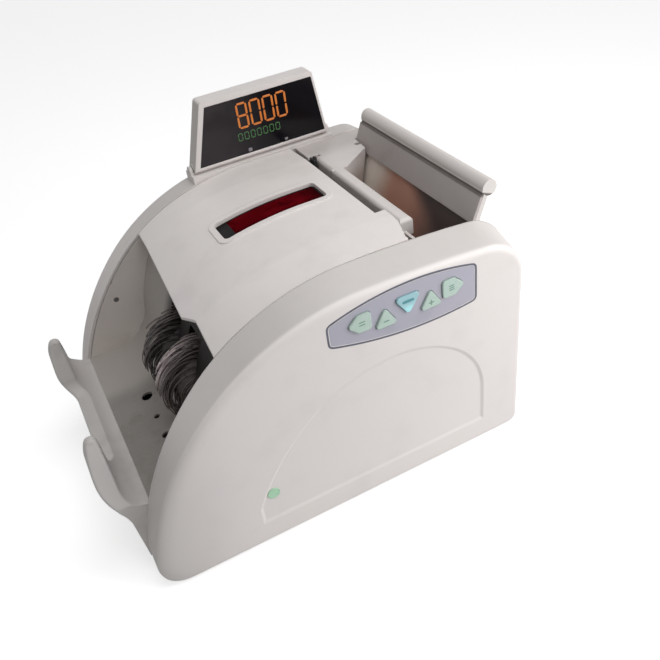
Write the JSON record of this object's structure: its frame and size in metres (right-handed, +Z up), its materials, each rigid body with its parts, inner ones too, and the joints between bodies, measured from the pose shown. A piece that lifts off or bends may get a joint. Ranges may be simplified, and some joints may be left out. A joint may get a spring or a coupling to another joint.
{
  "type": "banknote counting machine",
  "caption": "Desktop banknote counting machine with a sloped hopper, impeller stacker with a horned guard, hinged top cover, tilting display pod and a front key panel.",
  "frame": {"origin": "centre of the footprint, on the table", "axes": "+X towards the hopper end, -Y towards the operator and the key panel, +Z up"},
  "size_m": [0.354, 0.2636, 0.2767],
  "materials": {
    "body_plastic": "satin moulded",
    "inner_plastic": "matt moulded",
    "frame_metal": "matt grey paint",
    "tray_metal": "matt grey paint",
    "hopper_plastic": "satin moulded",
    "chute_plastic": "matt moulded",
    "steel": "turned",
    "zinc": "zinc plated",
    "feed_rubber": "matt",
    "black_rubber": "matt",
    "impeller_rubber": "matt",
    "bronze": "sintered",
    "overlay": "printed film",
    "key_green": "moulded",
    "key_cyan": "moulded",
    "black_plastic": "moulded",
    "dark_lens": "polished",
    "red_lens": "tinted and polished",
    "green_lens": "tinted and polished",
    "board": "solder resist",
    "motor_metal": "plated",
    "transformer_metal": "varnished",
    "belt_rubber": "matt"
  },
  "bodies": {
    "chassis": {"base_tray": "tray_metal", "front_cover": "body_plastic", "rear_cover": "body_plastic", "front_side_frame": "frame_metal", "rear_side_frame": "frame_metal", "end_panel": "body_plastic", "stacker_floor": "inner_plastic", "stacker_guard": "body_plastic", "note_guide": "frame_metal", "count_sensor_bar": "black_plastic", "hopper_plate": "hopper_plastic", "hopper_chute": "chute_plastic", "hopper_front_wall": "body_plastic", "separator_pads": "feed_rubber", "cover_rests": "inner_plastic", "key_overlay": "overlay", "key_board": "board", "status_lamp": "green_lens", "main_board": "board", "transformer": "transformer_metal", "main_motor": "motor_metal", "motor_belt": "belt_rubber", "impeller_belt": "belt_rubber", "pickup_belt": "belt_rubber", "transport_belt": "belt_rubber", "shaft_bushes": "bronze", "power_inlet": "black_plastic", "power_switch_body": "black_plastic", "display_socket": "black_plastic", "pod_plinth": "body_plastic", "pod_pins": "steel", "feet": "black_rubber", "cover_screws": "zinc"},
    "top_cover": {"top_cover": "body_plastic", "window_lens": "red_lens", "window_board": "board", "cover_pins": "steel"},
    "display_pod": {"pod_shell": "body_plastic", "pod_lens": "dark_lens", "pod_board": "board", "pod_back": "body_plastic"},
    "feed_rollers": {"feed_shaft": "steel", "feed_rollers": "feed_rubber", "feed_pulleys": "black_plastic"},
    "pickup_rollers": {"pickup_shaft": "steel", "pickup_rollers": "feed_rubber"},
    "transport_rollers": {"transport_shaft": "steel", "transport_rollers": "black_rubber"},
    "impellers": {"impeller_shaft": "steel", "impeller_front": "impeller_rubber", "impeller_rear": "impeller_rubber"},
    "motor_rotor": {"motor_shaft": "steel"},
    "gap_knob": {"gap_knob": "black_plastic"},
    "power_rocker": {"power_rocker": "black_plastic"},
    "key_stop": {"key_stop": "key_green"},
    "key_minus": {"key_minus": "key_green"},
    "key_start": {"key_start": "key_cyan"},
    "key_plus": {"key_plus": "key_green"},
    "key_mode": {"key_mode": "key_green"}
  },
  "joints": [
    {"name": "top_cover_open", "type": "hinge", "parent": "chassis", "child": "top_cover", "pos_m": [0.079, 0, 0.205], "axis": [0, 1, 0], "range_deg": [0, 60]},
    {"name": "pod_tilt", "type": "hinge", "parent": "chassis", "child": "display_pod", "pos_m": [0.06485, 0.113, 0.2172], "axis": [-1, 0, 0], "range_deg": [-8, 15]},
    {"name": "feed_spin", "type": "hinge", "parent": "chassis", "child": "feed_rollers", "pos_m": [0.09316, 0, 0.12825], "axis": [0, 1, 0], "continuous": true},
    {"name": "pickup_spin", "type": "hinge", "parent": "chassis", "child": "pickup_rollers", "pos_m": [0.14349, 0, 0.14972], "axis": [0, 1, 0], "continuous": true},
    {"name": "transport_spin", "type": "hinge", "parent": "chassis", "child": "transport_rollers", "pos_m": [0.022, 0, 0.108], "axis": [0, 1, 0], "continuous": true},
    {"name": "impeller_spin", "type": "hinge", "parent": "chassis", "child": "impellers", "pos_m": [-0.066, 0, 0.109], "axis": [0, 1, 0], "continuous": true},
    {"name": "motor_spin", "type": "hinge", "parent": "chassis", "child": "motor_rotor", "pos_m": [0.054, 0, 0.045], "axis": [0, 1, 0], "continuous": true},
    {"name": "gap_knob_turn", "type": "hinge", "parent": "chassis", "child": "gap_knob", "pos_m": [0.0975, 0.067, 0.214], "axis": [0, 0, 1], "range_deg": [-150, 150]},
    {"name": "power_rocker_tilt", "type": "hinge", "parent": "chassis", "child": "power_rocker", "pos_m": [0.164, 0.008, 0.037], "axis": [0, 1, 0], "range_deg": [0, 20]},
    {"name": "key_stop_press", "type": "slide", "parent": "chassis", "child": "key_stop", "axis": [0, 1, 0], "range_m": [0, 0.0011], "stiffness_N_per_m": 400},
    {"name": "key_minus_press", "type": "slide", "parent": "chassis", "child": "key_minus", "axis": [0, 1, 0], "range_m": [0, 0.0011], "stiffness_N_per_m": 400},
    {"name": "key_start_press", "type": "slide", "parent": "chassis", "child": "key_start", "axis": [0, 1, 0], "range_m": [0, 0.0011], "stiffness_N_per_m": 400},
    {"name": "key_plus_press", "type": "slide", "parent": "chassis", "child": "key_plus", "axis": [0, 1, 0], "range_m": [0, 0.0011], "stiffness_N_per_m": 400},
    {"name": "key_mode_press", "type": "slide", "parent": "chassis", "child": "key_mode", "axis": [0, 1, 0], "range_m": [0, 0.0011], "stiffness_N_per_m": 400}
  ],
  "couplings": [
    {"joint": "motor_spin", "follows": "feed_spin", "ratio": 2},
    {"joint": "impeller_spin", "follows": "feed_spin", "ratio": 1.125},
    {"joint": "pickup_spin", "follows": "feed_spin", "ratio": 1.2},
    {"joint": "transport_spin", "follows": "feed_spin", "ratio": 1.3333}
  ]
}
